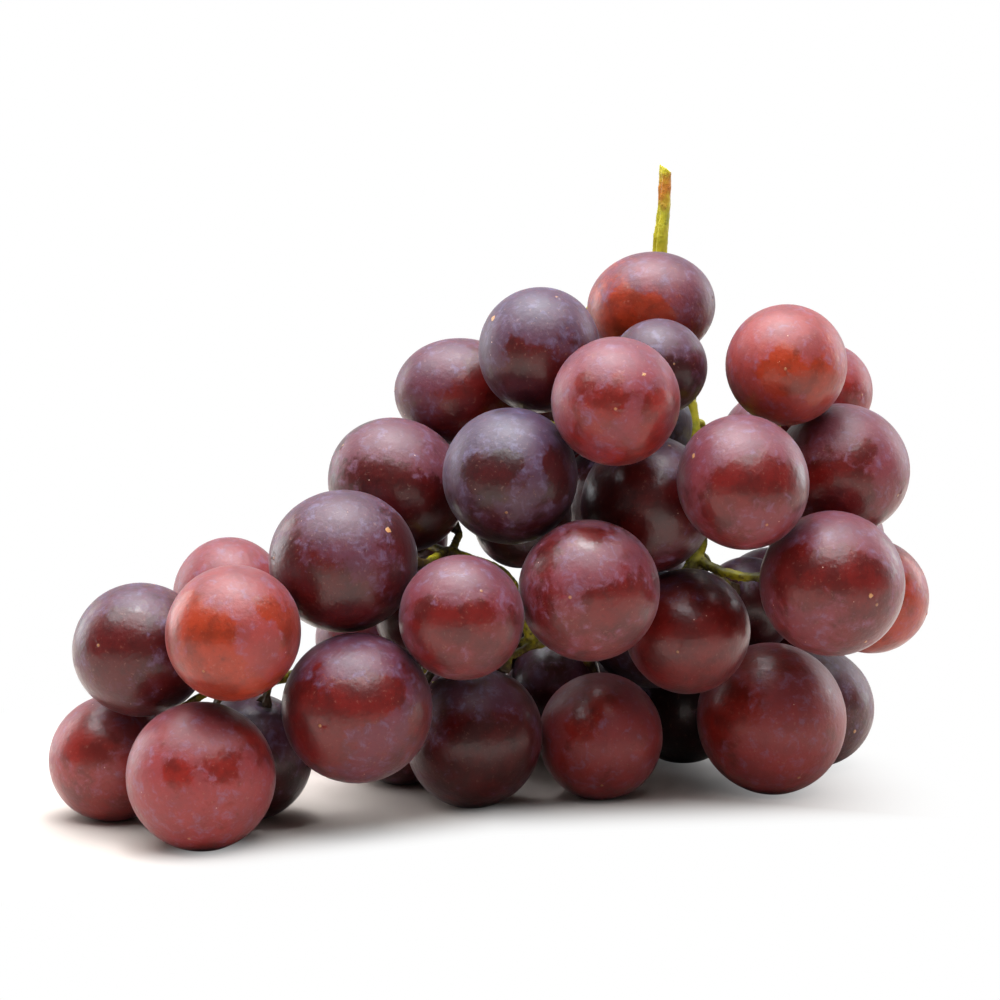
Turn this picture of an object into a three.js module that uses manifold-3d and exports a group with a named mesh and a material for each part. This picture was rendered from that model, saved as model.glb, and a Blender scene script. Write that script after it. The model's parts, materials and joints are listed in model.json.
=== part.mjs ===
// A bunch of red table grapes, picked and laid down on its side: a green stalk that stands up out of the
// bunch, the side shoots and pedicels that branch from it, and one berry on the end of each pedicel.
// Millimetres. +X runs along the bunch from its tip to its thick end, +Y runs away from the viewer, +Z is up.
// The table is the plane Z = 0, and the origin is on it under the middle of the bunch.
import * as THREE from "three";
import { mergeVertices } from "three/addons/utils/BufferGeometryUtils.js";
import Module from "manifold-3d";

const wasm = await Module();
wasm.setup();

// The bunch is laid out as an eye in front of it sees it. The eye looks slightly down at the point SIGHT_HEIGHT
// above the table. A place is [across, up, back]: across and up are measured in the upright plane through the
// middle of the bunch, and back is how far behind that plane the place lies, along the line of sight.
const EYE_DISTANCE = 650;
const EYE_TILT = THREE.MathUtils.degToRad(7.5);
const SIGHT_HEIGHT = 56;
const UP = new THREE.Vector3(0, 0, 1);

// Berries. Most are a little longer than wide, and each one has a shallow dimple where its pedicel sits.
const USUAL_LENGTH = 1.05; // length over width
const SKIN_GAP = 0.32; // clear space between neighbours
const TABLE_DENT = 0.5; // how far the weight flattens a berry that rests on the table
const DIMPLE_RADIUS = 2.4;
const DIMPLE_DEPTH = 0.5;
const BERRY_SIDES = 11;
const BERRY_RINGS = 6;

// Stalk. The radii of the main stem are in its own table.
const SHOOT_RADIUS = 1.15; // at its root
const SHOOT_TAPER = 0.2; // share of the radius that is gone at its end
const PEDICEL_RADIUS = 0.85;
const RECEPTACLE_RADIUS = 1.9;
const RECEPTACLE_LENGTH = 2.6;
const STALK_GAP = 0.3; // clear space between the stalk and the skins
const STEM_CLEARANCE = 2.0; // from the middle of a stem to the nearest skin, at least
const ROOT_SPACING = 0.9; // between the pedicels along a shoot
const CUT_TILT = THREE.MathUtils.degToRad(33);
const CUT_DROP = 1.6; // from the end of the main stem's curve to the middle of its slanted cut
const RACHIS_SIDES = 7;
const SHOOT_SIDES = 6;
const PEDICEL_SIDES = 5;
const RACHIS_STEP = 5.0;
const STEP_LENGTH = 3.4; // of the thinner limbs
const FEWEST_STEPS = 3;

// How the berries settle. What the eye sees of the front stays put, and the far side gives way to it.
const SETTLE_ROUNDS = 900;
const FIRM_ROUNDS = 250; // the last of them, in which nothing is drawn back to its place
const FRONT_EASE = 0.3; // share of a push across the line of sight that a front berry follows
const FAR_EASE = 0.5;
const FAR_SHARE = 0.85; // share of a push between a front and a far berry that the far one takes
const FRONT_DRAW = 0.08; // share of its way back to its place that a front berry makes in a round
const FAR_DRAW = 0.05;
const SIGHT_DRAW = 0.01; // the same along the line of sight, for all
const FAR_PULL = 0.25; // how far the place of a far berry moves in towards its shoot
const STEM_POINT_SPACING = 2.5; // between the points that keep the berries off a stem

// How the pedicels find their way round the berries.
const BEND_ROUNDS = 90;
const BEND_POINTS = 7;
const BEND_PULL = 0.4; // share of its way to the middle of its neighbours that a point makes in a round
const BOW = 9; // how far a way round is bowed to one side before it is bent
const BOW_COUNT = 6;
const BLOCK_COST = 60; // millimetres of detour that are worth a millimetre less of cutting into a berry

// How corners of the stalk that touch are parted.
const MERGE = 0.001; // corners closer than this become one
const TOUCH = 0.002; // corners closer than this count as touching
const PART = 0.01; // how far touching corners are drawn back
const PART_ROUNDS = 8;

const SKIN_ROUGHNESS = 0.45;
const STALK_ROUGHNESS = 0.7;
const COLOURS = { red: "#9c2a33", wine: "#5b1a2b", dark: "#2c1420", stalk: "#7c8a3c" };

const berry = (tone, place, width, shoot, more = {}) => ({ tone, place, width, shoot, ...more });

// Tone, place of the middle, width as the eye sees it, the shoot it grows on, and what is its own: faces is the
// direction its blossom end points to, rests is for one on the table, far for one that the front hides.
const BERRIES = [
  // The tip of the bunch, nearest the viewer and low on the table.
  berry("red", [-48.6, 30.9, -40], 25.2, "tip", { faces: [-0.43, -0.8, -0.41] }),
  berry("dark", [-65.5, 27.0, -22], 25.0, "tip", { faces: [-0.5, -0.8, 0.2] }),
  berry("red", [-70.6, 5.8, -28], 24.2, "tip", { rests: true }),
  berry("red", [-54.4, 4.5, -42], 28.3, "tip", { rests: true, length: 1.0 }),
  berry("red", [-49.2, 37.9, -16], 21.4, "tip"),
  berry("wine", [-27.1, 43.8, -34], 27.0, "left", { faces: [-0.9, -0.4, 0.1] }),
  berry("wine", [-24.9, 17.5, -36], 28.4, "low_left", { length: 1.02 }),
  berry("dark", [-45.1, 7.0, -18], 23.4, "tip", { rests: true }),
  // The slope from the tip up to the top.
  berry("wine", [-17.5, 58.7, -16], 24.8, "left", { faces: [-0.75, -0.3, 0.6], length: 1.1 }),
  berry("wine", [-4.7, 76.2, -8], 21.2, "high_left", { faces: [-0.95, -0.2, 0.1], length: 1.22 }),
  berry("dark", [9.2, 84.0, -14], 22.8, "high_left"),
  berry("dark", [4.0, 60.6, -28], 25.6, "high_left"),
  berry("red", [23.6, 74.7, -30], 24.2, "top"),
  berry("dark", [31.9, 81.3, -10], 18.2, "top"),
  berry("red", [30.6, 92.3, -4], 20.8, "top", { faces: [0.93, -0.3, 0.12], length: 1.18 }),
  // The thick end, on the right.
  berry("red", [56.1, 81.4, -16], 22.9, "high_right", { faces: [-0.1, -0.99, 0.03] }),
  berry("red", [62.8, 76.4, 6], 18.6, "high_right", { faces: [0.7, -0.7, 0] }),
  berry("wine", [66.6, 62.1, -6], 24.4, "high_right"),
  berry("wine", [47.5, 59.3, -26], 24.6, "high_right", { faces: [0.28, -0.82, -0.5], length: 1.08 }),
  berry("wine", [64.7, 40.2, -24], 27.4, "right", { faces: [0.53, -0.83, -0.16], length: 1.0 }),
  berry("red", [71.5, 38.1, 0], 21.6, "right"),
  berry("wine", [53.2, 15.0, 2], 28.2, "low_right", { rests: true, length: 1.04 }),
  berry("wine", [60.9, 17.0, 27], 22.8, "low_right", { rests: true }),
  // The middle of the front.
  berry("wine", [18.7, 38.9, -34], 26.8, "middle", { length: 1.0 }),
  berry("wine", [-5.6, 33.9, -36], 23.6, "low_left", { length: 1.0 }),
  berry("red", [20.8, 12.1, -2], 23.6, "low_middle", { rests: true, faces: [0, -0.8, -0.6] }),
  berry("dark", [-3.0, 12.3, -4], 25.6, "low_middle", { rests: true, faces: [-0.38, -0.1, -0.92] }),
  berry("wine", [37.4, 31.3, -12], 23.6, "low_right"),
  berry("dark", [30.2, 55.7, -8], 25.0, "middle", { faces: [0.29, -0.35, 0.9] }),
  berry("dark", [29.2, 70.4, 2], 16.6, "top"),
  berry("dark", [47.5, 36.4, 14], 18.6, "right"),
  berry("dark", [36.6, 17.5, 31], 22.2, "low_right", { rests: true }),
  berry("wine", [-16.4, 11.9, 12], 20.8, "low_left", { rests: true }),
  berry("dark", [6.2, 52.8, -2], 18.6, "high_left"),
  berry("wine", [-10.8, 37.4, -12], 19.0, "left"),
  berry("dark", [13.4, 22.6, 17], 17.0, "low_middle"),
  // The far side.
  berry("wine", [24.0, 82.0, 22], 19.0, "top", { far: true }),
  berry("dark", [8.0, 77.0, 16], 22.0, "high_left", { far: true }),
  berry("wine", [22.0, 54.0, 26], 23.6, "middle", { far: true }),
  berry("dark", [27.0, 33.0, 22], 22.4, "low_middle", { far: true }),
  berry("wine", [10.0, 16.0, 26], 23.6, "low_middle", { rests: true, far: true }),
  berry("wine", [-23.0, 30.0, 6], 20.6, "low_left", { far: true }),
  berry("wine", [57.5, 66.0, 20], 21.0, "high_right", { far: true }),
  berry("red", [60.0, 44.0, 22], 21.6, "right", { far: true }),
  berry("wine", [57.0, 32.0, 34], 23.6, "back_low", { far: true }),
  berry("dark", [50.0, 62.0, 38], 22.0, "back_high", { far: true }),
  berry("wine", [43.0, 21.0, 48], 22.0, "low_right", { rests: true, far: true }),
  berry("dark", [2.0, 34.0, 20], 22.6, "low_left", { far: true }),
  berry("wine", [34.0, 44.0, 38], 22.6, "back_low", { far: true }),
  berry("wine", [-21.5, 47.0, 4], 19.0, "left", { far: true }),
  berry("red", [-26.0, 16.0, 24], 20.6, "back_left", { rests: true, far: true }),
  berry("wine", [-7.0, 14.0, 34], 21.6, "back_left", { rests: true, far: true }),
  berry("wine", [17.0, 40.0, 38], 22.0, "back_low", { far: true }),
  berry("red", [16.0, 68.0, 30], 21.4, "back_high", { far: true }),
  berry("dark", [28.0, 67.0, 34], 20.6, "back_high", { far: true }),
];

// The main stem from its cut end down through the bunch and out to the tip: place and radius.
const RACHIS = [
  { place: [33.2, 120.5, 9], radius: 1.25 },
  { place: [32.9, 110.6, 10], radius: 1.3 },
  { place: [32.7, 109.1, 10], radius: 1.65 },
  { place: [32.6, 107.6, 10], radius: 1.5 },
  { place: [32.0, 102.0, 11], radius: 1.55 },
  { place: [33.6, 91.0, 12], radius: 1.6 },
  { place: [37.4, 76.0, 10.5], radius: 1.6 },
  { place: [38.7, 66.0, 9.2], radius: 1.6 },
  { place: [39.4, 54.0, 8], radius: 1.6 },
  { place: [38.8, 44.2, 6], radius: 1.7 },
  { place: [28.5, 35.2, 3], radius: 1.5 },
  { place: [10.0, 29.5, 1], radius: 1.45 },
  { place: [-10.0, 27.0, -5], radius: 1.35 },
  { place: [-28.0, 24.5, -15], radius: 1.25 },
  { place: [-42.0, 22.0, -25], radius: 1.1 },
];

// The side shoots, each from the main stem outward.
const SHOOTS = {
  top: [[36.7, 79, 10.8], [31, 81, 6], [26, 80, 3]],
  high_left: [[38.3, 69.5, 9.8], [29, 69, 13], [19, 68, 5], [12, 70, -5], [5, 71, -10]],
  high_right: [[38.8, 65.5, 9.1], [46, 66, 6], [54, 68, 0]],
  middle: [[39.4, 51, 7.4], [32, 43.5, 1], [26, 41.5, -8]],
  right: [[39, 45, 6.2], [43, 42.7, 2.5], [50, 41.3, 0], [58, 43, 1]],
  low_right: [[37.4, 42.7, 5.5], [43, 34, 10], [47.5, 27, 17], [48.5, 24.5, 25]],
  back_high: [[38.2, 70.8, 9.9], [40, 70, 18], [38, 68, 26]],
  back_low: [[38.9, 46.5, 6.5], [41, 44, 15], [39, 42, 24], [35, 40, 31]],
  back_left: [[2, 28.3, -2], [-1, 24, 5], [-5, 21, 14], [-9, 21.5, 22]],
  low_middle: [[14, 30.7, 1.2], [14.5, 32.5, 8], [15, 33.5, 16], [15, 33, 23]],
  left: [[8, 29.3, 0.6], [3.5, 41.5, -7], [-4.5, 45.2, -13], [-8, 46.6, -15]],
  low_left: [[-8, 27.2, -4], [-13, 24, -12], [-14, 22, -17]],
  tip: [[-34, 23.5, -19], [-44, 21.6, -26], [-51, 22.4, -27]],
};

// Gaps that one can see right through from the front: [across, up] and radius. Nothing behind closes them.
const OPENINGS = [
  { place: [-2.2, 47.0], radius: 3.4 },
  { place: [40.2, 45.4], radius: 2.2 },
  { place: [-35.8, 30.5], radius: 2.6 },
  { place: [-41.5, 21.1], radius: 1.5 },
  { place: [41.8, 84.0], radius: 3.5 },
  { place: [41.2, 72.0], radius: 3.0 },
];

// A point of the layout from a place as the eye sees it.
function seen([across, up, back]) {
  const spread = 1 + back / EYE_DISTANCE;
  const rise = (up - SIGHT_HEIGHT) * spread;
  return new THREE.Vector3(
    across * spread,
    back * Math.cos(EYE_TILT) + rise * Math.sin(EYE_TILT),
    SIGHT_HEIGHT - back * Math.sin(EYE_TILT) + rise * Math.cos(EYE_TILT),
  );
}

const EYE = seen([0, SIGHT_HEIGHT, -EYE_DISTANCE]);
const curveThrough = (places) => new THREE.CatmullRomCurve3(places.map(seen), false, "centripetal");

// How far a berry reaches from its middle in a unit direction.
function reach(one, direction) {
  const along = one.axis.dot(direction);
  return Math.sqrt((one.halfLength * along) ** 2 + one.radius ** 2 * (1 - along ** 2));
}

function nearest(points, to) {
  const closer = (a, b) => (b.distanceToSquared(to) < a.distanceToSquared(to) ? b : a);
  return points.reduce(closer);
}

// The angle at a berry's middle between its stem end and the rim of its dimple.
const dimpleAngle = (one) => Math.asin(DIMPLE_RADIUS / one.radius);

// The point on a berry's axis that is out of its dimple by the given height.
function aboveDimple(one, height) {
  const rim = one.halfLength * Math.cos(dimpleAngle(one));
  return one.at.clone().addScaledVector(one.axis, -rim - height);
}

// How deep a pedicel at a point would press into a berry, and the direction out of it.
function pressed(point, one) {
  const outward = new THREE.Vector3().subVectors(point, one.at);
  const distance = outward.length();
  outward.divideScalar(distance);
  return { outward, depth: reach(one, outward) + PEDICEL_RADIUS + STALK_GAP - distance };
}

// Pushes a point out of the berries and off the table, to where a pedicel has room.
function clearBerries(point, berries) {
  for (const one of berries) {
    const { outward, depth } = pressed(point, one);
    if (depth > 0) {
      point.addScaledVector(outward, depth);
    }
  }
  point.z = Math.max(point.z, PEDICEL_RADIUS + STALK_GAP);
}

// Turns a berry's stem end to the nearest point of its shoot, or as given, but so that its pedicel has room.
function turn(one, others) {
  if (one.faces) {
    one.axis.fromArray(one.faces).normalize();
  } else {
    one.axis.subVectors(one.at, nearest(one.line, one.at)).normalize();
  }
  const neck = aboveDimple(one, RECEPTACLE_LENGTH + PEDICEL_RADIUS);
  clearBerries(neck, others);
  one.axis.subVectors(one.at, neck).normalize();
}

// Slides a point along a sight line to a height above the table.
function slideToHeight(point, sight, height) {
  return point.addScaledVector(sight, (height - point.z) / sight.z);
}

// The berries at the places they are seen at, before they are settled.
function placed(lines) {
  return BERRIES.map((given, index) => {
    const at = seen(given.place);
    const one = {
      ...given,
      name: `berry_${String(index + 1).padStart(2, "0")}`,
      at,
      axis: new THREE.Vector3(),
      sight: new THREE.Vector3().subVectors(at, EYE).normalize(),
      radius: (given.width * (1 + given.place[2] / EYE_DISTANCE)) / 2,
      line: lines[given.shoot],
    };
    one.halfLength = one.radius * (given.length ?? USUAL_LENGTH);
    turn(one, []);
    if (one.rests) {
      slideToHeight(at, one.sight, reach(one, UP) - TABLE_DENT);
    }
    one.home = at.clone();
    return one;
  });
}

// Moves a berry by amount along a direction. What the eye sees of it stays put: it gives way along its own
// line of sight more easily than across it.
function give(one, direction, amount, firm) {
  const along = direction.dot(one.sight);
  const eased = one.far ? FAR_EASE : FRONT_EASE;
  const across = firm ? 1 : eased;
  one.at.addScaledVector(direction, amount * across);
  one.at.addScaledVector(one.sight, amount * along * (1 - across));
}

// Draws a berry back to the place it is seen at, or one on the far side in towards its shoot.
function drawBack(one) {
  const goal = one.far ? one.home.clone().lerp(nearest(one.line, one.at), FAR_PULL) : one.home;
  const offset = new THREE.Vector3().subVectors(goal, one.at);
  const along = offset.dot(one.sight);
  const across = one.far ? FAR_DRAW : FRONT_DRAW;
  one.at.addScaledVector(offset, across);
  one.at.addScaledVector(one.sight, along * (SIGHT_DRAW - across));
}

// Keeps a berry on or above the table.
function keepUp(one) {
  const lowest = reach(one, UP);
  if (one.rests) {
    one.at.z = lowest - TABLE_DENT;
  } else {
    one.at.z = Math.max(one.at.z, lowest + SKIN_GAP);
  }
}

// Pushes two berries apart until they only just don't touch. One on the far side gives way the most.
function partPair(one, other, firm) {
  const direction = new THREE.Vector3().subVectors(other.at, one.at);
  const distance = direction.length();
  if (distance > one.halfLength + other.halfLength + SKIN_GAP) {
    return;
  }
  direction.divideScalar(distance);
  const short = reach(one, direction) + reach(other, direction) + SKIN_GAP - distance;
  if (short > 0) {
    const weights = [one, other].map(({ far }) => (far ? FAR_SHARE : 1 - FAR_SHARE));
    const share = weights[0] / (weights[0] + weights[1]);
    give(one, direction, -short * share, firm);
    give(other, direction, short * (1 - share), firm);
  }
}

// Pushes a berry off the points along the main stem and the side shoots.
function clearStems(one, stemPoints, firm) {
  const direction = new THREE.Vector3();
  for (const point of stemPoints) {
    direction.subVectors(one.at, point);
    const distance = direction.length();
    const short = reach(one, direction.divideScalar(distance)) + STEM_CLEARANCE - distance;
    if (short > 0) {
      give(one, direction, short, firm);
    }
  }
}

// Pushes a far-side berry out of the gaps that one can see through.
function clearOpenings(one) {
  for (const { place, radius } of OPENINGS) {
    const point = seen([...place, 0]);
    const sight = new THREE.Vector3().subVectors(point, EYE).normalize();
    const side = new THREE.Vector3().subVectors(one.at, EYE);
    side.addScaledVector(sight, -side.dot(sight));
    const distance = side.length();
    const short = one.radius + radius - distance;
    if (short > 0) {
      one.at.addScaledVector(side.divideScalar(distance), short);
    }
  }
}

// Eases the berries until none overlaps another or a stem.
function settle(berries, stemPoints) {
  for (let round = 0; round < SETTLE_ROUNDS; round += 1) {
    const firm = round >= SETTLE_ROUNDS - FIRM_ROUNDS;
    for (const one of berries) {
      if (!firm) {
        drawBack(one);
      }
      turn(one, berries.filter((other) => other !== one));
      if (one.far) {
        clearOpenings(one);
      }
      clearStems(one, stemPoints, firm);
    }
    for (let i = 0; i < berries.length; i += 1) {
      for (let j = i + 1; j < berries.length; j += 1) {
        partPair(berries[i], berries[j], firm);
      }
    }
    berries.forEach(keepUp);
  }
}

// The profile of a berry from its stem end at the top to its blossom end, turned about its axis.
function berryGeometry(one) {
  const rim = dimpleAngle(one);
  const profile = [new THREE.Vector2(0, one.halfLength * Math.cos(rim) - DIMPLE_DEPTH)];
  for (let ring = 0; ring < BERRY_RINGS; ring += 1) {
    const angle = rim + ((Math.PI - rim) * ring) / BERRY_RINGS;
    profile.push(new THREE.Vector2(one.radius * Math.sin(angle), one.halfLength * Math.cos(angle)));
  }
  profile.push(new THREE.Vector2(0, -one.halfLength));
  return new THREE.LatheGeometry(profile.reverse(), BERRY_SIDES);
}

// A manifold solid of a closed geometry, in the place and turn that matrix gives it.
function solid(geometry, matrix = new THREE.Matrix4()) {
  const bare = geometry.clone().applyMatrix4(matrix);
  bare.deleteAttribute("normal");
  bare.deleteAttribute("uv");
  const merged = mergeVertices(bare, MERGE);
  const index = merged.index.array;
  const faces = [];
  for (let i = 0; i < index.length; i += 3) {
    const [a, b, c] = index.slice(i, i + 3);
    if (a !== b && b !== c && c !== a) {
      faces.push(a, b, c);
    }
  }
  const vertProperties = new Float32Array(merged.attributes.position.array);
  return new wasm.Manifold(new wasm.Mesh({ numProp: 3, vertProperties, triVerts: new Uint32Array(faces) }));
}

// A geometry of a manifold solid.
function geometryOf(manifold) {
  const { vertProperties, triVerts } = manifold.getMesh();
  const geometry = new THREE.BufferGeometry();
  geometry.setAttribute("position", new THREE.BufferAttribute(vertProperties, 3));
  geometry.setIndex(new THREE.BufferAttribute(triVerts, 1));
  geometry.computeVertexNormals();
  return geometry;
}

const largest = (manifold) => manifold.decompose().reduce((a, b) => (b.volume() > a.volume() ? b : a));

// Draws corners that lie on one another, without being joined, back into their own sides of the solid, so that
// its surface doesn't touch itself there. Returns how many there were.
function partCorners(geometry) {
  const { position, normal } = geometry.attributes;
  const vectorsOf = (attribute) =>
    Array.from({ length: attribute.count }, (_, i) => new THREE.Vector3().fromBufferAttribute(attribute, i));
  const corners = vectorsOf(position);
  const normals = vectorsOf(normal);
  const isTouched = (corner) => corners.some((other) => other !== corner && other.distanceTo(corner) < TOUCH);
  const touching = corners.map(isTouched);
  corners.forEach((corner, i) => {
    if (touching[i]) {
      corner.addScaledVector(normals[i], -PART);
      position.setXYZ(i, corner.x, corner.y, corner.z);
    }
  });
  return touching.filter(Boolean).length;
}

const meshOf = (name, geometry, colour, roughness) => {
  const material = new THREE.MeshStandardMaterial({ color: colour, roughness, metalness: 0 });
  const mesh = new THREE.Mesh(geometry, material);
  mesh.name = name;
  return mesh;
};

// One berry. Where it rests, the table has flattened it.
function berryMesh(one) {
  const mesh = meshOf(one.name, berryGeometry(one), COLOURS[one.tone], SKIN_ROUGHNESS);
  mesh.position.copy(one.at);
  mesh.quaternion.setFromUnitVectors(new THREE.Vector3(0, -1, 0), one.axis);
  mesh.updateMatrixWorld();
  if (one.rests) {
    const size = 4 * one.radius;
    const table = new THREE.BoxGeometry(size, size, size).translate(one.at.x, one.at.y, -size / 2);
    const flattened = solid(mesh.geometry, mesh.matrixWorld).subtract(solid(table));
    mesh.geometry = geometryOf(flattened).applyMatrix4(mesh.matrixWorld.clone().invert());
  }
  return mesh;
}

// A round limb along a curve, whose radius at each step along it, from 0 to 1, is given by a function.
function limb(curve, radiusAt, sides, steps) {
  const outline = new THREE.Shape();
  for (let side = 0; side < sides; side += 1) {
    const angle = (2 * Math.PI * side) / sides;
    outline.lineTo(Math.cos(angle), Math.sin(angle));
  }
  const geometry = new THREE.ExtrudeGeometry(outline, { steps, extrudePath: curve, bevelEnabled: false });
  const middles = curve.getSpacedPoints(steps);
  const corner = new THREE.Vector3();
  const { position } = geometry.attributes;
  for (let i = 0; i < position.count; i += 1) {
    corner.fromBufferAttribute(position, i);
    const middle = nearest(middles, corner);
    corner.sub(middle).multiplyScalar(radiusAt(middles.indexOf(middle) / steps)).add(middle);
    position.setXYZ(i, corner.x, corner.y, corner.z);
  }
  return geometry;
}

function rachisLimb(curve) {
  const radiusAt = (share) => {
    const step = curve.getUtoTmapping(share) * (RACHIS.length - 1);
    const from = RACHIS[Math.floor(step)];
    const to = RACHIS[Math.min(Math.floor(step) + 1, RACHIS.length - 1)];
    return THREE.MathUtils.lerp(from.radius, to.radius, step % 1);
  };
  return limb(curve, radiusAt, RACHIS_SIDES, Math.round(curve.getLength() / RACHIS_STEP));
}

// What the slanted cut takes off the top of the main stem.
function cutBlock(top) {
  const size = 12;
  const block = new THREE.BoxGeometry(size, size, size).translate(0, 0, size / 2);
  return block.rotateY(CUT_TILT).translate(top.x, top.y, top.z - CUT_DROP);
}

// How deep a pedicel along a way would press into the berries, short of the stem end it leads to.
function blockedBy(way, berries) {
  const along = way.getPoints(3 * BEND_POINTS).slice(0, -3);
  const depths = along.flatMap((point) => berries.map((one) => pressed(point, one).depth));
  return Math.max(0, ...depths);
}

// One way round from root to neck: it starts out bowed to one side and is then bent clear of the berries.
function bentWay(root, neck, bow, berries) {
  const points = [];
  for (let i = 1; i < BEND_POINTS; i += 1) {
    const share = i / BEND_POINTS;
    points.push(root.clone().lerp(neck, share).addScaledVector(bow, Math.sin(Math.PI * share)));
  }
  for (let round = 0; round < BEND_ROUNDS; round += 1) {
    points.forEach((point, i) => {
      const before = points[i - 1] ?? root;
      const after = points[i + 1] ?? neck;
      point.lerp(before.clone().lerp(after, 0.5), BEND_PULL);
      clearBerries(point, berries);
    });
  }
  return new THREE.CatmullRomCurve3([root, ...points, neck]);
}

// Each pedicel's own place on its shoot: the nearest to the berry's stem end that no other pedicel has taken.
function takeRoots(berries) {
  const taken = [];
  for (const one of berries) {
    const free = one.line.filter((point) => taken.every((root) => root.distanceTo(point) > ROOT_SPACING));
    one.root = nearest(free.length > 0 ? free : one.line, one.at);
    taken.push(one.root);
  }
}

// The route of a berry's pedicel, from its shoot to its stem end: of a few ways round, the shortest clear one.
function pedicelRoute(one, berries) {
  const neck = aboveDimple(one, RECEPTACLE_LENGTH);
  const { root } = one;
  const straight = new THREE.Vector3().subVectors(neck, root).normalize();
  const side = new THREE.Vector3().crossVectors(one.sight, straight).setLength(BOW);
  const bows = [new THREE.Vector3()];
  for (let i = 0; i < BOW_COUNT; i += 1) {
    bows.push(side.clone().applyAxisAngle(straight, (2 * Math.PI * i) / BOW_COUNT));
  }
  const ways = bows.map((bow) => bentWay(root, neck, bow, berries));
  const costs = ways.map((way) => way.getLength() + BLOCK_COST * blockedBy(way, berries));
  const best = ways[costs.indexOf(Math.min(...costs))];
  const points = [...best.points, aboveDimple(one, STALK_GAP)];
  return new THREE.CatmullRomCurve3(points, false, "centripetal");
}

// The steps that a thin limb along a curve is made in.
const stepsAlong = (curve) => Math.max(FEWEST_STEPS, Math.round(curve.getLength() / STEP_LENGTH));

// A pedicel with its flared end, the receptacle, which sits in the berry's dimple.
function pedicelLimb(one, berries) {
  const route = pedicelRoute(one, berries);
  const radiusAt = (share) => (share === 1 ? RECEPTACLE_RADIUS : PEDICEL_RADIUS);
  return limb(route, radiusAt, PEDICEL_SIDES, stepsAlong(route));
}

// The whole stalk as one solid, clear of the berries.
function stalkMesh(rachis, shoots, berries, berryMeshes) {
  takeRoots(berries);
  const shootRadius = (share) => SHOOT_RADIUS * (1 - SHOOT_TAPER * share);
  const limbs = [
    rachisLimb(rachis),
    ...shoots.map((shoot) => limb(shoot, shootRadius, SHOOT_SIDES, stepsAlong(shoot))),
    ...berries.map((one) => pedicelLimb(one, berries)),
  ];
  let stalk = limbs.map((piece) => solid(piece)).reduce((whole, piece) => whole.add(piece));
  berryMeshes.forEach((mesh, i) => {
    const growth = new THREE.Vector3().setScalar(1 + STALK_GAP / berries[i].radius);
    stalk = stalk.subtract(solid(mesh.geometry, mesh.matrixWorld.clone().scale(growth)));
  });
  stalk = stalk.subtract(solid(cutBlock(rachis.getPoint(0))));
  let geometry = geometryOf(largest(stalk));
  let touching = 1;
  for (let round = 0; round < PART_ROUNDS && touching > 0; round += 1) {
    geometry = geometryOf(largest(solid(geometry)));
    touching = partCorners(geometry);
  }
  return meshOf("stalk", geometry, COLOURS.stalk, STALK_ROUGHNESS);
}

// Moves the settled berries and the curves so that the middle of the bunch is over the origin.
function centre(berries, curves) {
  const box = new THREE.Box3();
  berries.map(berryMesh).forEach((mesh) => box.expandByObject(mesh, true));
  const middle = box.getCenter(new THREE.Vector3()).setZ(0);
  berries.forEach((one) => one.at.sub(middle));
  for (const curve of curves) {
    curve.points.forEach((point) => point.sub(middle));
    curve.updateArcLengths();
  }
}

// Points along a curve that keep the berries off it.
const pointsAlong = (curve) => curve.getSpacedPoints(Math.ceil(curve.getLength() / STEM_POINT_SPACING));

// Points along the outer four fifths of a side shoot, where its pedicels grow.
const outerPoints = (curve) => curve.getSpacedPoints(60).slice(12);

// The same names with a new value made from each value.
function mapped(table, make) {
  return Object.fromEntries(Object.entries(table).map(([name, value]) => [name, make(value)]));
}

function grapeBunch() {
  const rachis = curveThrough(RACHIS.map(({ place }) => place));
  const shoots = mapped(SHOOTS, curveThrough);
  const curves = [rachis, ...Object.values(shoots)];
  const berries = placed(mapped(shoots, outerPoints));
  settle(berries, curves.flatMap(pointsAlong));
  centre(berries, curves);
  berries.forEach((one) => {
    one.line = outerPoints(shoots[one.shoot]);
  });
  const berryMeshes = berries.map(berryMesh);
  const bunch = new THREE.Group();
  bunch.name = "grape_bunch";
  bunch.add(stalkMesh(rachis, Object.values(shoots), berries, berryMeshes), ...berryMeshes);
  return bunch;
}

export default grapeBunch();
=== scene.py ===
import json
import math
import random
from collections import Counter, defaultdict

import bmesh
import bpy
from bpy.props import FloatProperty, FloatVectorProperty, IntProperty, PointerProperty
from mathutils import Matrix, Vector


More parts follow.
